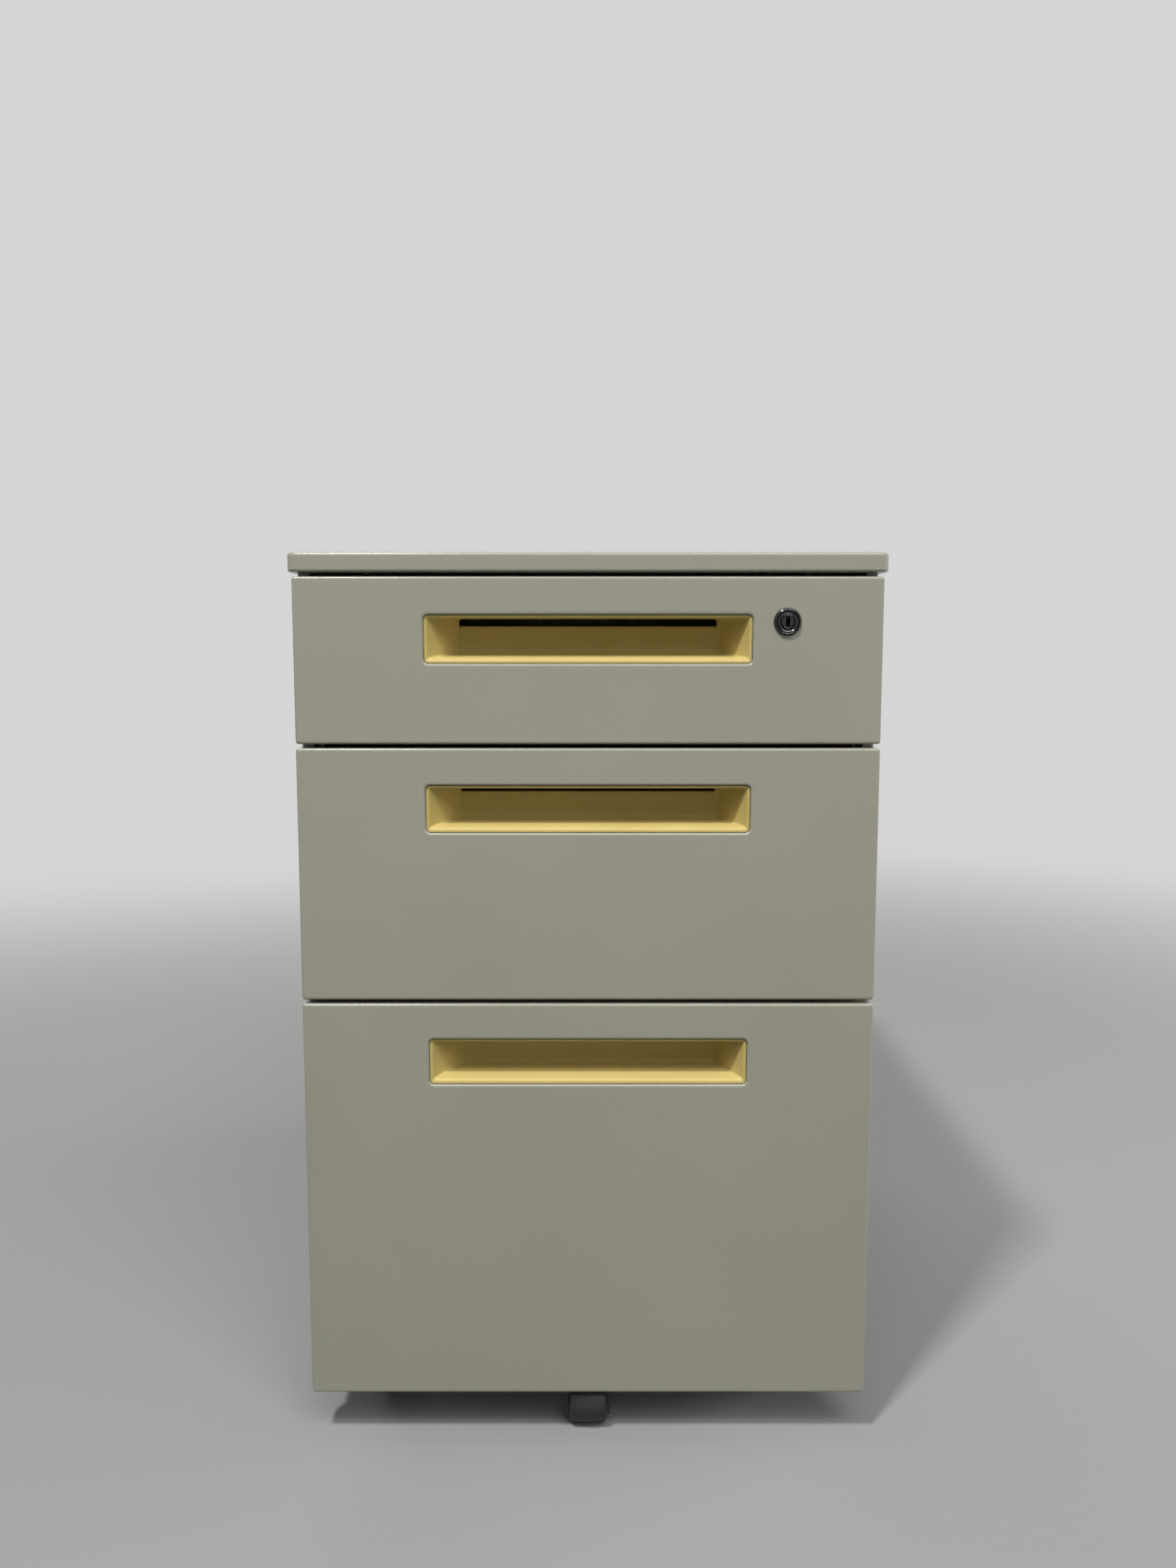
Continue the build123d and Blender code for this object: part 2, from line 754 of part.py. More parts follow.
def make_caster(name, x, y):
    """A swivel caster that trails to the back, without its stem."""
    radius = caster_wheel_diameter / 2
    axle_y = y + caster_trail
    cheek = caster_wheel_width / 2 + caster_side_gap
    outside = cheek + caster_fork_sheet
    crown_z = caster_wheel_diameter + caster_crown_gap
    with BuildPart() as wheel:
        rod((1, 0, 0), (x - caster_wheel_width / 2, axle_y, radius), radius, caster_wheel_width)
        fillet(wheel.edges().filter_by(GeomType.CIRCLE), caster_tread_radius)
        rod((1, 0, 0), (x - caster_wheel_width / 2, axle_y, radius),
            caster_axle_diameter / 2 + pin_clearance, caster_wheel_width, Mode.SUBTRACT)
    save(wheel, f"caster_{name}_wheel")

    with BuildPart() as fork:
        with BuildSketch(Plane.XY.offset(crown_z)):
            with Locations((x, y)):
                Circle(caster_plate_diameter / 2)
            with Locations((x, (y + axle_y) / 2)):
                Rectangle(2 * outside, axle_y - y)
        extrude(amount=caster_plate_thickness)
        with BuildSketch(Plane.YZ.offset(x - outside)):
            with BuildLine():
                Polyline((y - radius / 2, crown_z), (axle_y + radius / 4, crown_z),
                         (axle_y + radius / 4, radius), (axle_y - radius / 4, radius), close=True)
            make_face()
            with Locations((axle_y, radius)):
                Circle(radius / 4)
        extrude(amount=2 * outside)
        block(x - cheek, x + cheek, y - radius, axle_y + radius, 0, crown_z, Mode.SUBTRACT)
        rod((0, 0, 1), (x, y, crown_z), caster_stem_diameter / 2 + pin_clearance,
            caster_plate_thickness, Mode.SUBTRACT)
        rod((1, 0, 0), (x - outside, axle_y, radius), caster_axle_diameter / 2 + pin_clearance,
            2 * outside, Mode.SUBTRACT)
    save(fork, f"caster_{name}_fork")

    with BuildPart() as axle:
        rod((1, 0, 0), (x - outside, axle_y, radius), caster_axle_diameter / 2, 2 * outside)
        for side in (-1, 1):
            rod((side, 0, 0), (x + side * outside, axle_y, radius), caster_axle_head / 2,
                caster_fork_sheet / 2)
    save(axle, f"caster_{name}_axle")


def make_caster_stems():
    crown_z = caster_wheel_diameter + caster_crown_gap
    crown_top = crown_z + caster_plate_thickness
    head_top = crown_z - running_clearance
    race_bottom = crown_top + running_clearance
    tip_z = carcass_underside + sheet + mount_plate_thickness + stem_tip
    with BuildPart() as caster_stems:
        for x, y in caster_places().values():
            rod((0, 0, -1), (x, y, head_top), caster_head_diameter / 2, caster_head_height)
            rod((0, 0, 1), (x, y, head_top), caster_stem_diameter / 2, tip_z - head_top)
            rod((0, 0, 1), (x, y, race_bottom), caster_race_diameter / 2,
                carcass_underside - race_bottom)
    save(caster_stems, "caster_stems")


def make_anti_tip_roller():
    radius = roller_diameter / 2
    axis_y = face_y + roller_setback
    axis_z = radius + roller_floor_gap
    cheek = roller_width / 2 + roller_side_gap
    outside = cheek + roller_fork_sheet
    plate_top = front_bottoms[2]
    plate_bottom = plate_top - roller_fork_sheet
    with BuildPart() as roller:
        rod((1, 0, 0), (-roller_width / 2, axis_y, axis_z), radius, roller_width)
        fillet(roller.edges().filter_by(GeomType.CIRCLE), roller_tread_radius)
        rod((1, 0, 0), (-roller_width / 2, axis_y, axis_z),
            caster_axle_diameter / 2 + pin_clearance, roller_width, Mode.SUBTRACT)
    save(roller, "anti_tip_roller")

    with BuildPart() as bracket:
        block(-outside, outside, axis_y - roller_cheek_margin, axis_y + roller_cheek_margin,
              axis_z - roller_cheek_margin, plate_top)
        block(-cheek, cheek, axis_y - radius, axis_y + radius, 0, plate_bottom, Mode.SUBTRACT)
        block(-outside, outside, front_back_y, front_back_y + roller_fork_sheet,
              plate_bottom, plate_top + roller_tab_height)
        rod((1, 0, 0), (-outside, axis_y, axis_z), caster_axle_diameter / 2 + pin_clearance,
            2 * outside, Mode.SUBTRACT)
    save(bracket, "anti_tip_bracket")

    with BuildPart() as axle:
        rod((1, 0, 0), (-outside, axis_y, axis_z), caster_axle_diameter / 2, 2 * outside)
    save(axle, "anti_tip_axle")


make_top_panel()
make_side_panels()
make_back_panel()
make_base()
make_top_rails()
make_uprights()
make_bumpers()
make_outer_runner_screws()
for drawer in range(3):
    make_runners(drawer)
    make_front(drawer)
    make_liner(drawer)
    make_box(drawer)
    make_drawer_screws(drawer)
    make_cup(drawer)
    make_catch(drawer)
make_lock()
make_lock_bar()
for corner, (caster_x, caster_y) in caster_places().items():
    make_caster(corner, caster_x, caster_y)
make_caster_stems()
make_anti_tip_roller()
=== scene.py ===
"""Mobile pedestal: painted steel carcass, three fronts with moulded pulls, lock and casters."""
import json
import math

import bmesh
import bpy
import numpy as np
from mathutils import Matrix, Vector
from mathutils.geometry import tessellate_polygon


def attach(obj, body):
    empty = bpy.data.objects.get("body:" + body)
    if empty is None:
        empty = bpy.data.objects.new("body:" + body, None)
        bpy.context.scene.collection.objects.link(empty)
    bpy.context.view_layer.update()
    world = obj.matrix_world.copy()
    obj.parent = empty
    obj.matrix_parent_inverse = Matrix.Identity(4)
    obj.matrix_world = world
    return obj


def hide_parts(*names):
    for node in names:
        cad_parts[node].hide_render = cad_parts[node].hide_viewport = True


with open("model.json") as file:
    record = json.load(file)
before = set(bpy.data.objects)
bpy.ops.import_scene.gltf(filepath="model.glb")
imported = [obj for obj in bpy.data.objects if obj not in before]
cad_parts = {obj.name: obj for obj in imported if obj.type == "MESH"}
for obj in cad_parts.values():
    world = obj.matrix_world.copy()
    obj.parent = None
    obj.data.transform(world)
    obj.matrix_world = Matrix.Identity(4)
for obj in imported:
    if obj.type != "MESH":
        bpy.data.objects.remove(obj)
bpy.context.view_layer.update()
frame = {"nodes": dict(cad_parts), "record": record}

scene = bpy.context.scene

# Sizes in millimetres, as in the frame: X to the right, -Y towards the user, Z up
FACE = -287.8
HALF_WIDTH = 195.0
FRONT_TOPS = (604.2, 491.1, 316.3)
FRONT_BOTTOMS = (493.9, 319.1, 34.0)
FRONT_DEPTH = 15.0
FRONT_SHEET, CARCASS_SHEET = 1.0, 1.2
EDGE_BEND, MOUTH_ROLL, ROLL_DEPTH = 1.6, 1.7, 6.9
CARCASS_FRONT, CARCASS_BACK = -270.8, 287.0
CARCASS_FOOT, TOP_UNDERSIDE, TOP = 55.0, 607.2, 620.0
TOP_HALF, TOP_FRONT, TOP_BACK, TOP_LIP = 198.0, -288.8, 290.0, 12.0
RETURN_FRONT, RETURN_BACK = 186.7, 179.0
MOUTH_HALF, MOUTH_HEIGHT, MOUTH_DROP, MOUTH_RADIUS = 108.8, 32.0, 25.0, 3.2
CUP_HALF, CUP_BACK_HALF, CUP_GAP = 108.5, 89.1, 0.3
CUP_RIM, CUP_LIP, CUP_BACK, CUP_END = 1.4, 0.4, 27.0, 28.6
SLOT_HALF, SLOT_CEILING = 88.0, -1.7
LOCK_X, LOCK_Z, LOCK_HOLE = 131.5, 574.7, 8.1
CASTER_PLACES = {
    "front_left": (-151.0, -226.8), "front_right": (151.0, -226.8),
    "rear_left": (-151.0, 243.0), "rear_right": (151.0, 243.0),
}


# Shapes


def loop(x0, x1, z0, z1, radius, steps=6):
    """A rectangle with rounded corners, as 4 * (steps + 1) points (x, z) counterclockwise.

    Each corner is its centre plus the radius times (cos, sin) of a quarter turn."""
    radius = min(radius, (x1 - x0) / 2, (z1 - z0) / 2)
    turn = np.linspace(0, math.pi / 2, steps + 1)
    angle = (turn[None, :] + np.arange(4)[:, None] * math.pi / 2).ravel()
    centre_x = np.repeat([x1 - radius, x0 + radius, x0 + radius, x1 - radius], steps + 1)
    centre_z = np.repeat([z1 - radius, z1 - radius, z0 + radius, z0 + radius], steps + 1)
    return np.column_stack([centre_x + radius * np.cos(angle), centre_z + radius * np.sin(angle)])


def upright(outline, depth):
    """An (x, z) outline stood up at a depth behind the fronts' face."""
    return np.column_stack([outline[:, 0], np.full(len(outline), FACE + depth), outline[:, 1]])


def lying(outline, z):
    """An (x, y) outline laid flat at a height."""
    return np.column_stack([outline, np.full(len(outline), z)])


def arc(centre, radius, start, end, steps=6):
    """Points (u, v) on a circle round centre, from one angle to another, in degrees."""
    angle = np.radians(np.linspace(start, end, steps + 1))
    return np.asarray(centre) + radius * np.column_stack([np.cos(angle), np.sin(angle)])


def skin(rings, wrap=False, first=False, last=False):
    """Quads between one ring of points and the next, rings[i, j] to rings[i + 1, j + 1].

    wrap joins the last ring to the first; first and last close an end with one flat face."""
    rings = np.asarray(rings, float)
    count, around = rings.shape[:2]
    i, j = np.meshgrid(np.arange(count if wrap else count - 1), np.arange(around), indexing="ij")
    after, beside = (i + 1) % count, (j + 1) % around
    quads = np.stack([i * around + j, i * around + beside, after * around + beside,
                      after * around + j], -1).reshape(-1, 4).tolist()
    if first:
        quads.append(list(range(around)))
    if last:
        quads.append(list(range((count - 1) * around, count * around)))
    return rings.reshape(-1, 3), quads


def plate(loops):
    """A flat face between an outer loop of points and the loops of its holes."""
    triangles = tessellate_polygon([[Vector(p) for p in points] for points in loops])
    return np.vstack(loops), [list(t) for t in triangles]


def lathe(profile, axis, centre, segments=72):
    """A closed profile (radius, distance along the axis) turned round an axis through centre.

    A point is centre + radius * (cos a, sin a) across the axis + distance along it."""
    turn = np.linspace(0, 2 * math.pi, segments, endpoint=False)
    radius, along = np.asarray(profile, float).T
    across = radius[:, None] * np.cos(turn)
    aside = radius[:, None] * np.sin(turn)
    lengthways = np.repeat(along[:, None], segments, 1)
    order = (lengthways, across, aside) if axis == "x" else (across, lengthways, aside)
    return skin(np.stack(order, -1) + np.asarray(centre), wrap=True)


def piece(name, parts, body, slot, material, *nodes):
    """One closed mesh from parts of points and faces, in metres, riding on a body."""
    points, faces, count = [], [], 0
    for part_points, part_faces in parts:
        points.append(part_points)
        faces.extend([[index + count for index in face] for face in part_faces])
        count += len(part_points)
    mesh = bpy.data.meshes.new(name)
    mesh.from_pydata((np.vstack(points) / 1000).tolist(), [], faces)
    shell = bmesh.new()
    shell.from_mesh(mesh)
    bmesh.ops.remove_doubles(shell, verts=shell.verts, dist=1e-6)
    bmesh.ops.recalc_face_normals(shell, faces=shell.faces)
    shell.to_mesh(mesh)
    shell.free()
    mesh.shade_smooth()
    mesh.set_sharp_from_angle(angle=math.radians(32))
    mesh.materials.append(material)
    made = bpy.data.objects.new(name, mesh)
    scene.collection.objects.link(made)
    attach(made, body)
    if nodes:
        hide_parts(*nodes)
    return made


# Materials, all procedural on Object coordinates


def linear(red, green, blue):
    """An sRGB colour from 0 to 255 as the linear one that the shader takes."""
    value = np.array([red, green, blue]) / 255
    value = np.where(value <= 0.04045, value / 12.92, ((value + 0.055) / 1.055) ** 2.4)
    return (*value.tolist(), 1.0)


def new_material(name, colour, roughness, metallic=0.0):
    """A material with its node tree and its Principled shader, set to plain values."""
    material = bpy.data.materials.new(name)
    material.use_nodes = True
    shader = material.node_tree.nodes["Principled BSDF"]
    shader.inputs["Base Color"].default_value = colour
    shader.inputs["Roughness"].default_value = roughness
    shader.inputs["Metallic"].default_value = metallic
    return material, material.node_tree, shader


def pattern(tree, kind, scale, stretch):
    """A texture node on Object coordinates, with scale in cycles per metre."""
    place = tree.nodes.new("ShaderNodeTexCoord")
    mapping = tree.nodes.new("ShaderNodeMapping")
    mapping.inputs["Scale"].default_value = stretch
    texture = tree.nodes.new(kind)
    texture.inputs["Scale"].default_value = scale
    tree.links.new(place.outputs["Object"], mapping.inputs["Vector"])
    tree.links.new(mapping.outputs["Vector"], texture.inputs["Vector"])
    return texture


def noise(tree, scale, stretch=(1, 1, 1), detail=2.0):
    """Cloudy noise from 0 to 1, which mostly lies between 0.3 and 0.7."""
    texture = pattern(tree, "ShaderNodeTexNoise", scale, stretch)
    texture.inputs["Detail"].default_value = detail
    return texture.outputs["Fac"]


def cells(tree, scale, stretch=(1, 1, 1)):
    """A random tone for each cell of a Voronoi pattern."""
    return pattern(tree, "ShaderNodeTexVoronoi", scale, stretch).outputs["Color"]


def tint(tree, shader, factor, low, high, spread=(0.3, 0.7)):
    """Blend the base colour between two colours by a factor."""
    ramp = tree.nodes.new("ShaderNodeValToRGB")
    ramp.color_ramp.elements[0].position, ramp.color_ramp.elements[1].position = spread
    ramp.color_ramp.elements[0].color, ramp.color_ramp.elements[1].color = low, high
    tree.links.new(factor, ramp.inputs["Fac"])
    tree.links.new(ramp.outputs["Color"], shader.inputs["Base Color"])


def vary(tree, factor, socket, low, high):
    """Spread a noise's usual range, 0.3 to 0.7, over a range of values."""
    spread = tree.nodes.new("ShaderNodeMapRange")
    spread.inputs["From Min"].default_value = 0.3
    spread.inputs["From Max"].default_value = 0.7
    spread.inputs["To Min"].default_value = low
    spread.inputs["To Max"].default_value = high
    tree.links.new(factor, spread.inputs["Value"])
    tree.links.new(spread.outputs["Result"], socket)


def relief(tree, shader, heights):
    """Bumps laid on each other: heights lists (height, strength, depth in metres)."""
    normal = None
    for height, strength, depth in heights:
        bump = tree.nodes.new("ShaderNodeBump")
        bump.inputs["Strength"].default_value = strength
        bump.inputs["Distance"].default_value = depth
        tree.links.new(height, bump.inputs["Height"])
        if normal:
            tree.links.new(normal, bump.inputs["Normal"])
        normal = bump.outputs["Normal"]
    tree.links.new(normal, shader.inputs["Normal"])


def powder_coat(name, light, dark):
    """Satin powder coat: fine orange peel, and cloudy patches that hardly show."""
    material, tree, shader = new_material(name, light, 0.26)
    tint(tree, shader, noise(tree, 9, detail=3), dark, light)
    vary(tree, noise(tree, 1400), shader.inputs["Roughness"], 0.22, 0.3)
    relief(tree, shader, [(noise(tree, 520), 0.10, 0.0002), (noise(tree, 2300), 0.06, 0.00006)])
    return material


def moulded_yellow():
    """Satin moulded plastic with a faint polish swirl."""
    material, tree, shader = new_material("moulded_yellow", linear(189, 170, 105), 0.36)
    tint(tree, shader, noise(tree, 22), linear(186, 167, 102), linear(192, 173, 108))
    vary(tree, noise(tree, 260, stretch=(0.3, 1, 1)), shader.inputs["Roughness"], 0.32, 0.4)
    relief(tree, shader, [(noise(tree, 160), 0.05, 0.0003)])
    shader.inputs["Specular IOR Level"].default_value = 0.2
    return material


def plated(name, light, dark, rough, grain):
    """Zinc plate drawn along Y, with grain in cycles per metre across it."""
    material, tree, shader = new_material(name, light, rough, 1.0)
    streak = noise(tree, grain, stretch=(1, 0.02, 1), detail=4)
    tint(tree, shader, streak, dark, light)
    vary(tree, streak, shader.inputs["Roughness"], rough - 0.06, rough + 0.08)
    relief(tree, shader, [(streak, 0.08, 0.0001)])
    return material


def spangled():
    """Galvanised sheet: flat crystals, each with its own grey."""
    material, tree, shader = new_material("spangled_zinc", (0.5, 0.51, 0.53, 1), 0.42, 1.0)
    crystal = cells(tree, 140)
    tint(tree, shader, crystal, (0.42, 0.43, 0.45, 1), (0.58, 0.59, 0.60, 1), (0.1, 0.9))
    vary(tree, noise(tree, 300), shader.inputs["Roughness"], 0.34, 0.5)
    relief(tree, shader, [(noise(tree, 900), 0.06, 0.0001)])
    return material


def dark_nickel():
    """Dark nickel plate with fine turning marks."""
    material, tree, shader = new_material("dark_nickel", (0.06, 0.058, 0.06, 1), 0.2, 1.0)
    marks = noise(tree, 2600, stretch=(1, 0.1, 1))
    tint(tree, shader, marks, (0.048, 0.047, 0.048, 1), (0.075, 0.073, 0.075, 1))
    vary(tree, noise(tree, 900), shader.inputs["Roughness"], 0.14, 0.24)
    relief(tree, shader, [(marks, 0.06, 0.00005)])
    return material


def chipboard():
    """Bare chipboard: pale and dark chips, with fine dust between them."""
    material, tree, shader = new_material("chipboard", (0.4, 0.28, 0.16, 1), 0.85)
    chip = cells(tree, 420, stretch=(1, 0.5, 2))
    tint(tree, shader, chip, (0.27, 0.18, 0.095, 1), (0.52, 0.39, 0.24, 1), (0.0, 1.0))
    relief(tree, shader, [(chip, 0.5, 0.0003), (noise(tree, 3000), 0.4, 0.0002)])
    return material


def black_plastic(name, level, rough):
    """Black moulding with a fine spark-eroded grain."""
    material, tree, shader = new_material(name, (level, level, level, 1), rough)
    tint(tree, shader, noise(tree, 60), (level * 0.8, level * 0.8, level * 0.8, 1),
         (level * 1.25, level * 1.22, level * 1.2, 1))
    vary(tree, noise(tree, 1800), shader.inputs["Roughness"], rough - 0.07, rough + 0.09)
    relief(tree, shader, [(noise(tree, 2600), 0.2, 0.00008)])
    return material


finishes = {
    "painted_steel": powder_coat("grey_powder_coat", linear(148, 147, 133), linear(145, 144, 130)),
    "liner_steel": powder_coat("inner_powder_coat", linear(138, 137, 124), linear(134, 133, 120)),
    "galvanised_steel": spangled(),
    "runner_steel": plated("drawn_zinc", (0.62, 0.63, 0.64, 1), (0.5, 0.51, 0.52, 1), 0.32, 900),
    "zinc_screws": plated("screw_zinc", (0.68, 0.68, 0.66, 1), (0.55, 0.55, 0.54, 1), 0.26, 1500),
    "caster_steel": black_plastic("black_coat", 0.022, 0.38),
    "board": chipboard(),
    "yellow_plastic": moulded_yellow(),
    "lock_chrome": dark_nickel(),
    "bumper_rubber": black_plastic("bumper_rubber", 0.016, 0.7),
    "caster_wheel": black_plastic("black_nylon", 0.014, 0.46),
}
for subpart in frame["record"]["subparts"]:
    node = frame["nodes"][subpart["node"]]
    node.data.materials.clear()
    node.data.materials.append(finishes[subpart["material_slot"]])


# Carcass


def top_skin():
    """The top: loops inside its outline, each (inset, z), round the nose and both edges."""
    outside = np.vstack([
        [[TOP_LIP, TOP_UNDERSIDE], [2.4, TOP_UNDERSIDE]],
        arc((1.6, TOP_UNDERSIDE + 1.6), 1.6, 270, 180),
        [[0.0, TOP_UNDERSIDE + 2.3], [0.0, TOP - 3.0]],
        arc((2.2, TOP - 2.2), 2.2, 180, 90, 8),
        [[3.2, TOP]],
    ])
    inside = np.array([[TOP_LIP, TOP_UNDERSIDE + CARCASS_SHEET],
                       [CARCASS_SHEET, TOP_UNDERSIDE + CARCASS_SHEET],
                       [CARCASS_SHEET, TOP - CARCASS_SHEET]])
    section = np.vstack([inside[::-1], outside])
    rings = [lying(loop(-TOP_HALF + inset, TOP_HALF - inset, TOP_FRONT + inset, TOP_BACK - inset,
                        max(6.0 - inset, 1.0), 8), z) for inset, z in section]
    return [skin(rings, first=True, last=True)]


def folded(path, radius, thickness, z0, z1):
    """A sheet folded along a path seen from above, with each bend an arc of the given radius.

    The inner face is the outer one moved to its left by the thickness."""
    path = np.asarray(path, float)
    outer, inner = [], []
    for index, corner in enumerate(path):
        before = corner - path[index - 1] if index else None
        after = path[index + 1] - corner if index + 1 < len(path) else None
        if before is None or after is None:
            way = after if before is None else before
            left = np.array([-way[1], way[0]]) / np.linalg.norm(way)
            outer.append(corner[None])
            inner.append((corner + thickness * left)[None])
            continue
        before, after = before / np.linalg.norm(before), after / np.linalg.norm(after)
        centre = corner + radius * (after - before)
        start = math.degrees(math.atan2(*(-after)[::-1]))
        for reach, side in ((radius, outer), (radius - thickness, inner)):
            bend = arc(centre, reach, start, start + 90)
            side.append(np.vstack([bend[0] - 0.7 * before, bend, bend[-1] + 0.7 * after]))
    outer, inner = np.vstack(outer), np.vstack(inner)
    rings = np.stack([lying(outer, z0), lying(outer, z1), lying(inner, z1), lying(inner, z0)], 1)
    return [skin(rings, first=True, last=True)]


paint = finishes["painted_steel"]
piece("top_cover", top_skin(), "cabinet", "painted_steel", paint, "top_panel")
side_path = np.array([[RETURN_FRONT, CARCASS_FRONT], [HALF_WIDTH, CARCASS_FRONT],
                      [HALF_WIDTH, CARCASS_BACK], [RETURN_BACK, CARCASS_BACK]])
right_side = folded(side_path, 2.0, CARCASS_SHEET, CARCASS_FOOT, TOP_UNDERSIDE)
piece("right_side", right_side, "cabinet", "painted_steel", paint, "right_side_panel")
left_side = [(points * (-1, 1, 1), faces) for points, faces in right_side]
piece("left_side", left_side, "cabinet", "painted_steel", paint, "left_side_panel")


# Drawer fronts and pulls


def front_skin(number):
    """A pressed front: loops (inset, depth) round its edge, and (growth, depth) round the mouth.

    Both the outer bend and the rolled mouth are quarter circles, and the inner skin is the
    outer one moved in by the sheet."""
    low, high = FRONT_BOTTOMS[number], FRONT_TOPS[number]
    mouth_high = high - MOUTH_DROP
    mouth_low = mouth_high - MOUTH_HEIGHT
    bend, roll = (EDGE_BEND, EDGE_BEND), (MOUTH_ROLL, MOUTH_ROLL)
    edge = np.vstack([
        [[2.6, FRONT_SHEET]], arc(bend, EDGE_BEND - FRONT_SHEET, 270, 180),
        [[FRONT_SHEET, 2.4], [FRONT_SHEET, FRONT_DEPTH], [0.0, FRONT_DEPTH], [0.0, 2.4]],
        arc(bend, EDGE_BEND, 180, 270), [[2.6, 0.0]],
    ])
    mouth = np.vstack([
        [[2.7, 0.0]], arc(roll, MOUTH_ROLL, 270, 180, 8),
        [[0.0, 2.5], [0.0, ROLL_DEPTH], [FRONT_SHEET, ROLL_DEPTH], [FRONT_SHEET, 2.5]],
        arc(roll, MOUTH_ROLL - FRONT_SHEET, 180, 270), [[2.7, FRONT_SHEET]],
    ])
    edge_rings = [upright(loop(-HALF_WIDTH + inset, HALF_WIDTH - inset, low + inset, high - inset,
                               max(2.0 - inset, 0.4)), depth) for inset, depth in edge]
    mouth_rings = [upright(loop(-MOUTH_HALF - growth, MOUTH_HALF + growth, mouth_low - growth,
                                mouth_high + growth, MOUTH_RADIUS + growth, 10), depth)
                   for growth, depth in mouth]
    parts = [skin(edge_rings), skin(mouth_rings)]
    outside, inside = [edge_rings[-1], mouth_rings[0]], [edge_rings[0], mouth_rings[-1]]
    if number == 0:
        hole = loop(LOCK_X - LOCK_HOLE, LOCK_X + LOCK_HOLE, LOCK_Z - LOCK_HOLE, LOCK_Z + LOCK_HOLE,
                    LOCK_HOLE, 10)
        hole_rings = [upright(hole, 0.0), upright(hole, FRONT_SHEET)]
        parts.append(skin(hole_rings))
        outside.append(hole_rings[0])
        inside.append(hole_rings[1])
    return parts + [plate(outside), plate(inside)]


def pull_skin(number):
    """A pull cup: loops through its round lip, cavity, back wall, slot, outer walls and flange.

    Each loop is (half width, floor, ceiling, depth, corner radius), with the floor and ceiling
    counted down from the mouth's upper edge. Each wall of the cavity leaves the lip on a circle
    and runs straight to the back from where the circle has reached the wall's slope."""
    high = FRONT_TOPS[number] - MOUTH_DROP
    low = -MOUTH_HEIGHT

    def wall(depth, radius, slope):
        """How far in a wall is: the circle's height at this depth, and past it the slope's."""
        slope = math.radians(slope)
        past = depth - CUP_RIM - radius * (1 - math.sin(slope))
        if past < 0:
            return CUP_LIP + math.sqrt(radius ** 2 - (radius - depth + CUP_RIM) ** 2)
        return CUP_LIP + radius * math.cos(slope) + past * math.tan(slope)

    def cavity(depth, inset=0.0, floor_inset=0.0):
        """The sides, floor and ceiling, each moved in by its own wall."""
        half = CUP_HALF - wall(depth, 2.0, 35.0) - inset
        floor = low + CUP_GAP + wall(depth, 3.2, 6.8) + floor_inset
        ceiling = -CUP_GAP - wall(depth, 1.4, -1.0)
        share = (depth - CUP_RIM) / (CUP_BACK - CUP_RIM)
        return half, floor, ceiling, depth, 1.2 + 1.3 * min(share, 1.0)

    def outer(depth):
        """Straight from the rim's width and floor to those of the back."""
        share = (depth - CUP_RIM) / (CUP_END - CUP_RIM)
        half = CUP_HALF + (CUP_BACK_HALF - CUP_HALF) * share
        return half, low + CUP_GAP + 5.8 * share, -CUP_GAP, depth, 2.7

    def lip(angle):
        """A quarter circle over the rim, from the cavity round to the outer wall."""
        angle = math.radians(angle)
        inset = CUP_LIP - CUP_LIP * math.sin(angle)
        return (CUP_HALF - inset, low + CUP_GAP + inset, -CUP_GAP - inset,
                CUP_RIM + CUP_LIP - CUP_LIP * math.cos(angle), 2.7 - inset)

    turn = np.radians(np.linspace(0, 90, 8))
    stations = [outer(8.9), outer(28.2), (88.9, low + 6.2, -0.5, 28.5, 2.4),
                (88.6, low + 6.4, -0.8, CUP_END, 2.2)]
    stations += [(SLOT_HALF, floor, SLOT_CEILING, depth, 0.5) for floor, depth in
                 ((-6.5, CUP_END), (-6.9, 28.2), (-6.9, 27.4), (-7.0, 27.1), (-7.3, CUP_BACK))]
    stations += [cavity(24.0 + 3.0 * math.sin(t), 1.0 - math.cos(t), 3.0 - 3.0 * math.cos(t))
                 for t in turn[::-1]]
    stations += [cavity(depth) for depth in
                 (23.3, 14.0, 6.0, 4.0, 3.6, 3.1, 2.7, 2.4, 2.1, 1.9, 1.7, 1.55, 1.45)]
    stations += [lip(angle) for angle in range(0, 91, 15)]
    stations += [outer(3.4), outer(ROLL_DEPTH)]
    stations += [(MOUTH_HALF + reach, low - reach, reach, depth, 3.0) for reach, depth in
                 ((4.6, ROLL_DEPTH), (5.0, 7.3), (5.0, 8.5), (4.6, 8.9))]
    rings = [upright(loop(-half, half, high + floor, high + ceiling, radius, 6), depth)
             for half, floor, ceiling, depth, radius in stations]
    return [skin(rings, wrap=True)]


for number in range(3):
    body = f"drawer_{number + 1}"
    piece(f"front_{number + 1}", front_skin(number), body, "painted_steel", paint, body + "_front")
    piece(f"pull_{number + 1}", pull_skin(number), body, "yellow_plastic",
          finishes["yellow_plastic"], body + "_handle")


# Lock


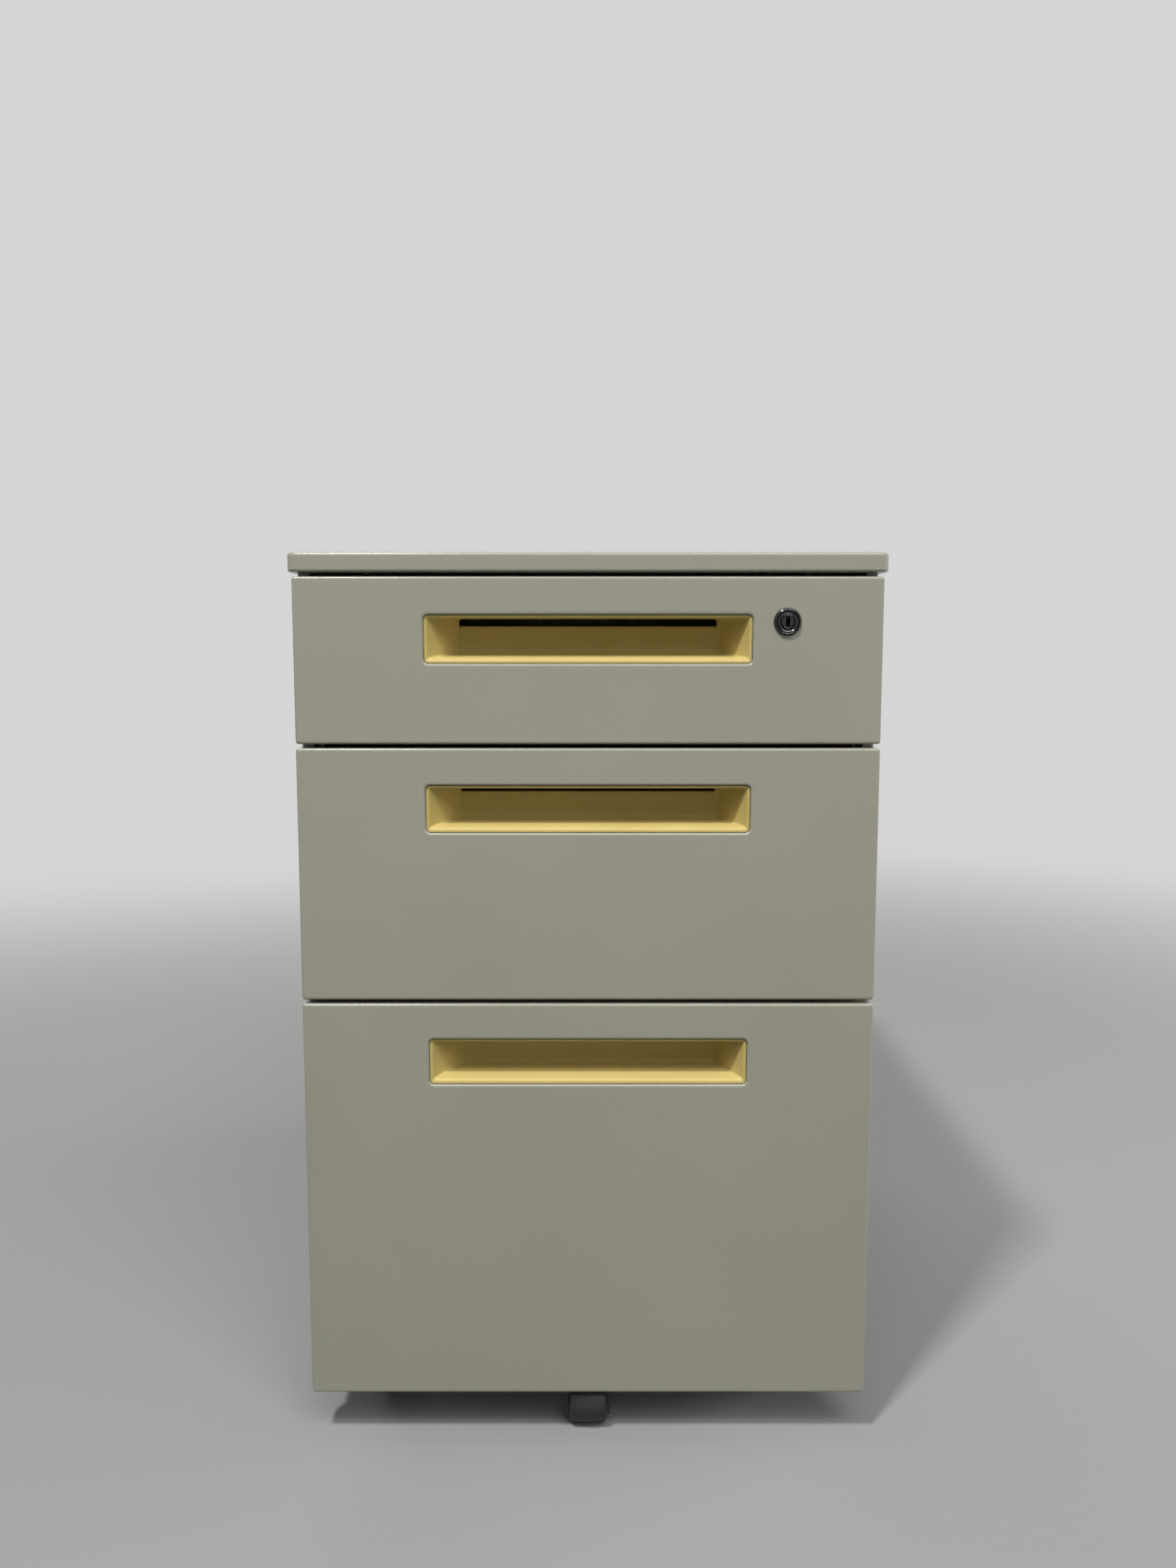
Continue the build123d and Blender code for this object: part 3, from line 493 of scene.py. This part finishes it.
def lock_skins():
    """The bezel turned round the lock's axis, and the plug, from a circle in to its keyway.

    The bezel is (radius, depth) round a dished ring, and the plug (half width, half height,
    depth)."""
    bezel = [(3.95, 22.0), (3.95, -1.5), (4.05, -1.72), (4.25, -1.8), (4.45, -1.72), (4.65, -1.4),
             (4.85, -1.0), (5.15, -0.65), (5.6, -0.45), (6.1, -0.5), (6.6, -0.72), (7.0, -1.05),
             (7.3, -1.45), (7.5, -1.85), (7.65, -2.1), (7.85, -2.2), (8.1, -2.1), (8.4, -1.75),
             (8.7, -1.3), (8.95, -0.85), (9.1, -0.5), (9.15, -0.2), (9.15, 0.0), (8.0, 0.0),
             (8.0, 22.0)]
    plug = [(3.9, 3.9, 25.0), (3.9, 3.9, -1.1), (3.6, 3.6, -1.4), (1.5, 3.3, -1.4),
            (1.3, 3.1, -1.1), (1.3, 3.1, 22.0)]
    rings = []
    for half, height, depth in plug:
        corner = half if height == half else 0.4
        rings.append(upright(loop(LOCK_X - half, LOCK_X + half, LOCK_Z - height, LOCK_Z + height,
                                  corner, 8), depth))
    return [lathe(bezel, "y", (LOCK_X, FACE, LOCK_Z))], [skin(rings, first=True, last=True)]


bezel_skin, plug_skin = lock_skins()
nickel = finishes["lock_chrome"]
piece("lock_bezel", bezel_skin, "drawer_1", "lock_chrome", nickel, "lock_housing")
piece("lock_core", plug_skin, "lock", "lock_chrome", nickel, "lock_plug")


# Casters and the anti-tip roller


def wheel_skin(centre, radius, half, tread, hub, crown):
    """A wheel on an X axis: bore, hub, dished web, and a tread whose corners are arcs.

    Across the tread the radius falls from the middle by crown times the square of the share
    of the way to the corner."""
    shoulder = radius - crown
    side = np.vstack([
        [[2.55, half], [hub, half], [hub + 0.5, half - 0.4], [hub + 0.9, half - 1.6],
         [shoulder - 5.4, half - 1.6], [shoulder - 5.0, half - 0.5],
         [shoulder - 4.6, half - 0.2]],
        arc((shoulder - tread, half - tread), tread, 80, 0, 6),
    ])
    share = np.linspace(1, -1, 11)[1:-1]
    middle = np.column_stack([radius - crown * share ** 2, (half - tread) * share])
    return lathe(np.vstack([side, middle, side[::-1] * (1, -1)]), "x", centre)


wheel_finish = finishes["caster_wheel"]
for corner, (x, y) in CASTER_PLACES.items():
    piece(f"wheel_{corner}", [wheel_skin((x, y + 18.0, 20.0), 20.0, 9.0, 3.0, 5.5, 0.3)],
          f"caster_{corner}_wheel", "caster_wheel", wheel_finish, f"caster_{corner}_wheel")
piece("tip_roller", [wheel_skin((0.0, FACE + 20.0, 16.0), 15.0, 13.5, 2.5, 5.0, 0.8)],
      "anti_tip_roller", "caster_wheel", wheel_finish, "anti_tip_roller")


# Floor, backdrop, lights and camera

BACKDROP = (0.66, 0.665, 0.66, 1)
FRONTS = (0, -0.25, 0.35)


def seen_rays(tree):
    """1 for camera, glossy and transmission rays, which see the backdrop, and 0 for the rest."""
    rays = tree.nodes.new("ShaderNodeLightPath")
    total = rays.outputs["Is Camera Ray"]
    for name in ("Is Glossy Ray", "Is Transmission Ray"):
        add = tree.nodes.new("ShaderNodeMath")
        add.operation = "ADD"
        add.use_clamp = True
        tree.links.new(total, add.inputs[0])
        tree.links.new(rays.outputs[name], add.inputs[1])
        total = add.outputs["Value"]
    return total


def studio_paper():
    """Pale paper round the object, which runs out into the even tone of the backdrop.

    The camera, gloss and glass see it pale, and soft light bounces off it as off a darker floor,
    so that the undersides stay in shade."""
    material, tree, shader = new_material("studio_paper", (0.5, 0.5, 0.5, 1), 0.85)
    link = tree.links.new
    seen = seen_rays(tree)
    tone = tree.nodes.new("ShaderNodeMix")
    tone.data_type = "RGBA"
    tone.inputs["A"].default_value = (0.12, 0.12, 0.118, 1)
    tone.inputs["B"].default_value = (0.25, 0.25, 0.247, 1)
    link(seen, tone.inputs["Factor"])
    link(tone.outputs["Result"], shader.inputs["Base Color"])
    place = tree.nodes.new("ShaderNodeTexCoord")
    distance = tree.nodes.new("ShaderNodeVectorMath")
    distance.operation = "LENGTH"
    link(place.outputs["Object"], distance.inputs[0])
    fade = tree.nodes.new("ShaderNodeMapRange")
    fade.interpolation_type = "SMOOTHSTEP"
    fade.inputs["From Min"].default_value = 0.9
    fade.inputs["From Max"].default_value = 2.6
    link(distance.outputs["Value"], fade.inputs["Value"])
    share = tree.nodes.new("ShaderNodeMath")
    share.operation = "MULTIPLY"
    link(fade.outputs["Result"], share.inputs[0])
    link(seen, share.inputs[1])
    even = tree.nodes.new("ShaderNodeEmission")
    even.inputs["Color"].default_value = BACKDROP
    blend = tree.nodes.new("ShaderNodeMixShader")
    link(share.outputs["Value"], blend.inputs["Fac"])
    link(shader.outputs["BSDF"], blend.inputs[1])
    link(even.outputs["Emission"], blend.inputs[2])
    link(blend.outputs["Shader"], tree.nodes["Material Output"].inputs["Surface"])
    return material


def staged_floor():
    """A flat round floor: rings of points, each a radius times (cos a, sin a)."""
    turn = np.linspace(0, 2 * math.pi, 48, endpoint=False)
    rings = np.array([1.0, 2.5, 6.0, 14.0])[:, None, None] * np.stack(
        [np.cos(turn), np.sin(turn), np.zeros(48)], 1)
    points, quads = skin(rings, first=True)
    mesh = bpy.data.meshes.new("studio_floor")
    mesh.from_pydata(points.tolist(), [], [quad[::-1] for quad in quads[:-1]] + [quads[-1]])
    mesh.materials.append(studio_paper())
    made = bpy.data.objects.new("studio_floor", mesh)
    scene.collection.objects.link(made)


def studio_air(soft):
    """The world: the backdrop's even tone for rays that see it, and soft light for the rest."""
    world = bpy.data.worlds.new("studio_air")
    world.use_nodes = True
    tree = world.node_tree
    sky = tree.nodes["Background"]
    sky.inputs["Strength"].default_value = 1.0
    tone = tree.nodes.new("ShaderNodeMix")
    tone.data_type = "RGBA"
    tone.inputs["A"].default_value = (soft, soft, soft, 1)
    tone.inputs["B"].default_value = BACKDROP
    tree.links.new(seen_rays(tree), tone.inputs["Factor"])
    tree.links.new(tone.outputs["Result"], sky.inputs["Color"])
    scene.world = world


def lamp(name, place, target, wide, high, watts, mirrored=True):
    """A soft rectangular lamp that looks at a target; shiny surfaces may leave it out."""
    data = bpy.data.lights.new(name, "AREA")
    data.shape = "RECTANGLE"
    data.size, data.size_y, data.energy = wide, high, watts
    made = bpy.data.objects.new(name, data)
    made.visible_glossy = mirrored
    made.location = place
    made.rotation_euler = (Vector(target) - Vector(place)).to_track_quat("-Z", "Y").to_euler()
    scene.collection.objects.link(made)


staged_floor()
studio_air(0.12)
lamp("key", (-1.26, -2.11, 4.34), FRONTS, 0.364, 0.364, 172)
lamp("tube", (0.45, -2.73, 4.18), FRONTS, 3.6, 0.15, 49)
lamp("window", (1.28, -3.03, 4.03), FRONTS, 2.85, 2.85, 111)
lamp("low", (3.0, -1.2, 0.5), FRONTS, 1.2, 0.7, 9, mirrored=False)
lamp("rear", (-1.1, 3.0, 0.85), (0, 0.25, 0.35), 1.6, 1.6, 72, mirrored=False)
lamp("side", (2.9, 0.4, 0.85), (0.2, 0, 0.35), 1.6, 1.6, 58, mirrored=False)

# The photo's view: 0.76 m in front of the fronts, at 0.547 m, looking down by 6 degrees
camera_data = bpy.data.cameras.new("camera")
camera_data.lens = 26.25
camera = bpy.data.objects.new("camera", camera_data)
camera.location = (0.0, FACE / 1000 - 0.76, 0.547)
camera.rotation_euler = (math.radians(84.01), 0, 0)
scene.collection.objects.link(camera)
scene.camera = camera
scene.view_settings.view_transform = "Standard"
